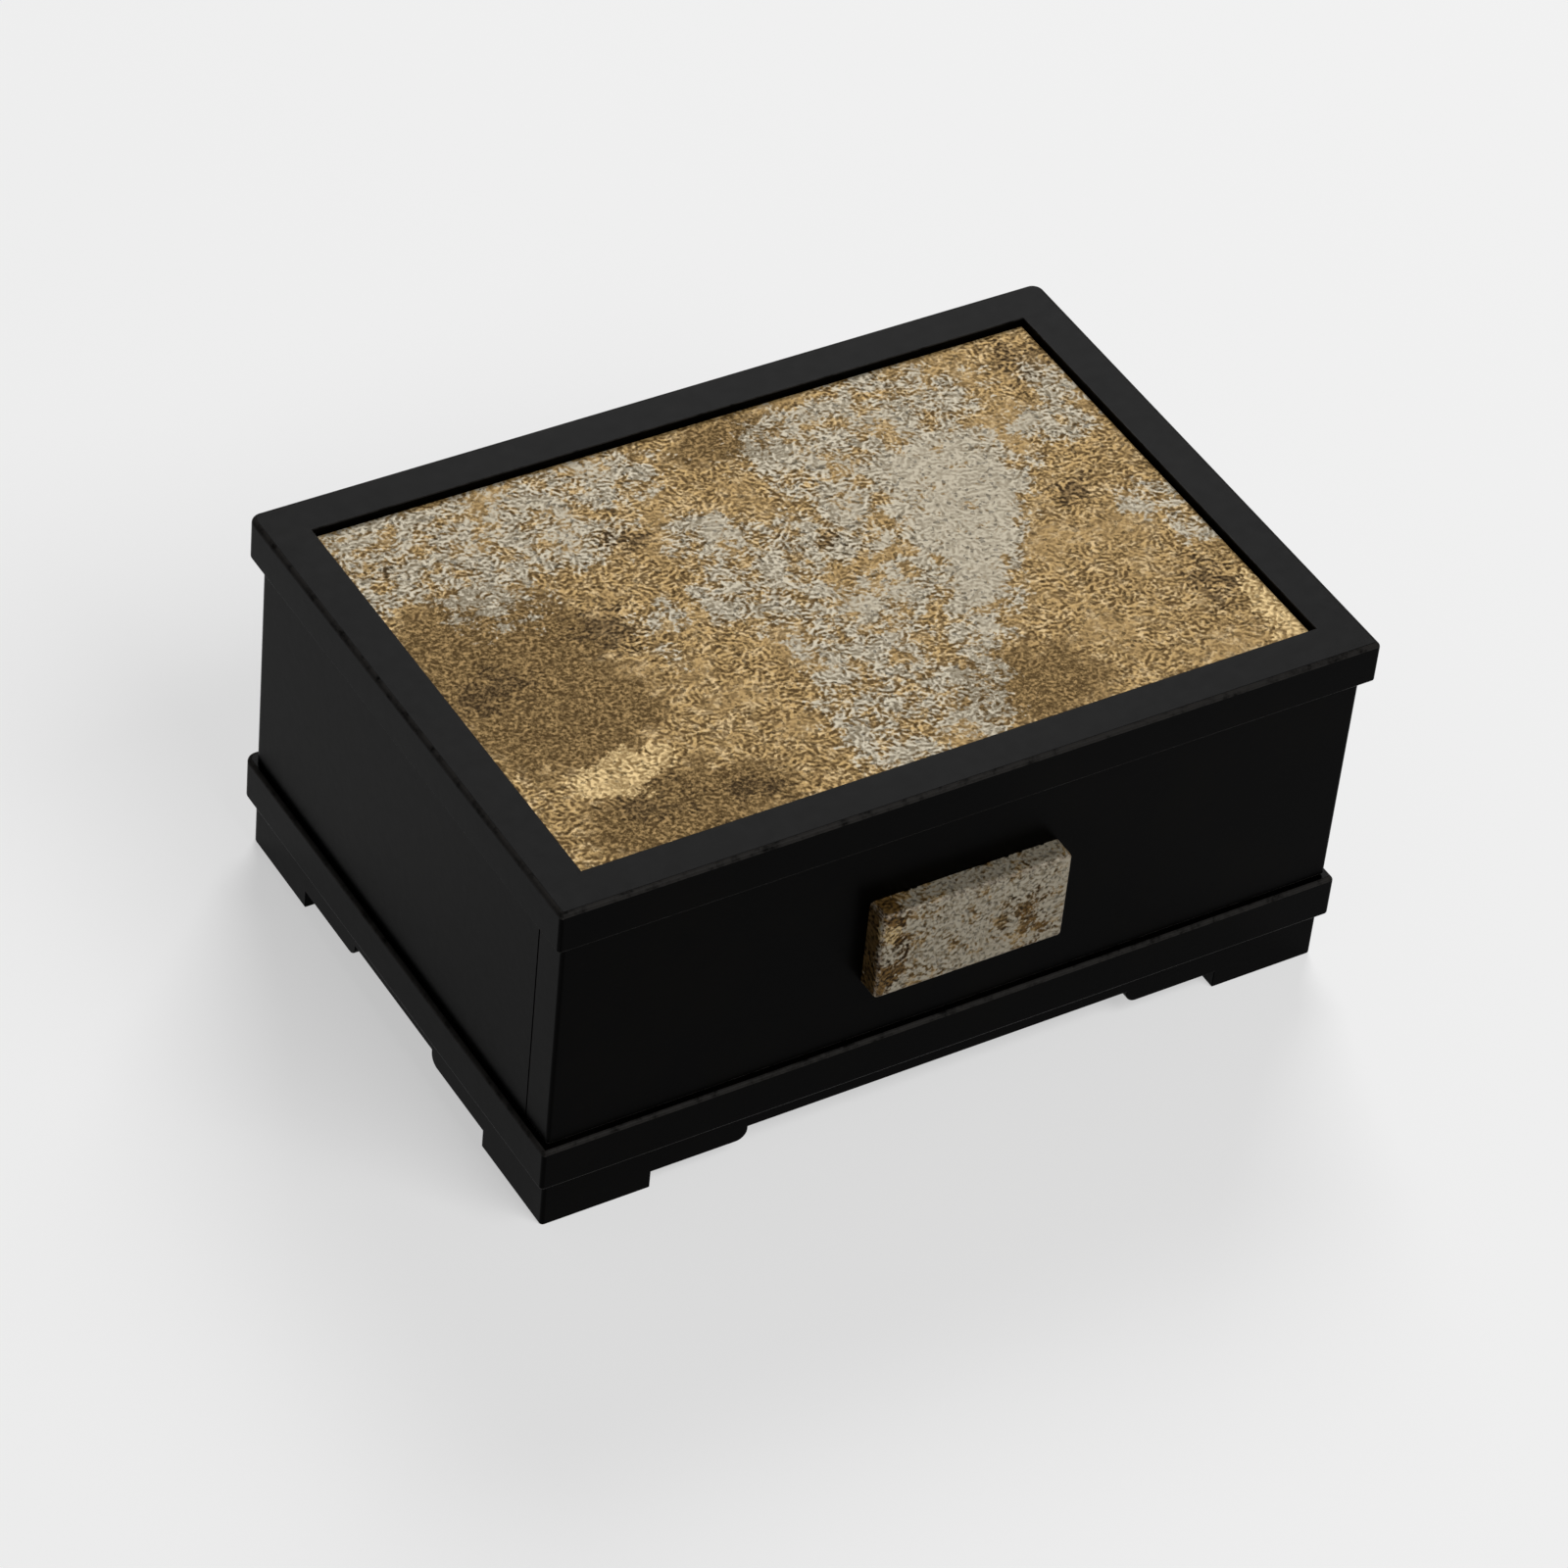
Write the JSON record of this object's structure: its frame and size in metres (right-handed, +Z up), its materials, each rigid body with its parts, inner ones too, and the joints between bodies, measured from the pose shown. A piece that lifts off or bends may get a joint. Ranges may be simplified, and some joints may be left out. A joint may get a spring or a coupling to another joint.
{
  "type": "wooden chest with a drawer",
  "caption": "Low lacquered wooden chest with a framed, sunk leather top, a full-width drawer with a block pull, a proud base board and stepped bracket feet.",
  "frame": {"origin": "middle of the footprint on the resting surface; the footprint runs from the face of the pull to the back edge of the lid", "axes": "+X to the right of someone who faces the drawer, +Y from the drawer front to the back, +Z up"},
  "size_m": [0.175, 0.125, 0.08],
  "materials": {
    "black_lacquer": "satin black lacquer on board",
    "foil_leather": "mottled gold and silver foil, embossed with short strokes",
    "bare_wood": "bare pale wood",
    "velvet": "short beige pile",
    "felt": "dark felt",
    "screw_steel": "plain steel"
  },
  "bodies": {
    "case": {"top_rail_front": "black_lacquer", "top_rail_back": "black_lacquer", "top_rail_left": "black_lacquer", "top_rail_right": "black_lacquer", "top_board": "black_lacquer", "top_inlay": "foil_leather", "side_left": "black_lacquer", "side_right": "black_lacquer", "back_panel": "black_lacquer", "base_board": "black_lacquer", "base_dowels": "bare_wood", "stop_strip": "bare_wood", "glide_strips": "felt", "bracket_front": "black_lacquer", "bracket_back": "black_lacquer", "bracket_left": "black_lacquer", "bracket_right": "black_lacquer", "corner_blocks": "bare_wood", "foot_pads": "felt"},
    "drawer": {"drawer_front": "black_lacquer", "drawer_box_front": "bare_wood", "drawer_box_back": "bare_wood", "drawer_side_left": "bare_wood", "drawer_side_right": "bare_wood", "drawer_bottom": "bare_wood", "lining_floor": "velvet", "lining_walls": "velvet", "pull_block": "bare_wood", "pull_cover": "foil_leather", "pull_screws": "screw_steel", "front_screws": "screw_steel"}
  },
  "joints": [
    {"name": "drawer_slide", "type": "slide", "parent": "case", "child": "drawer", "axis": [0, -1, 0], "range_m": [0, 0.0904]}
  ]
}
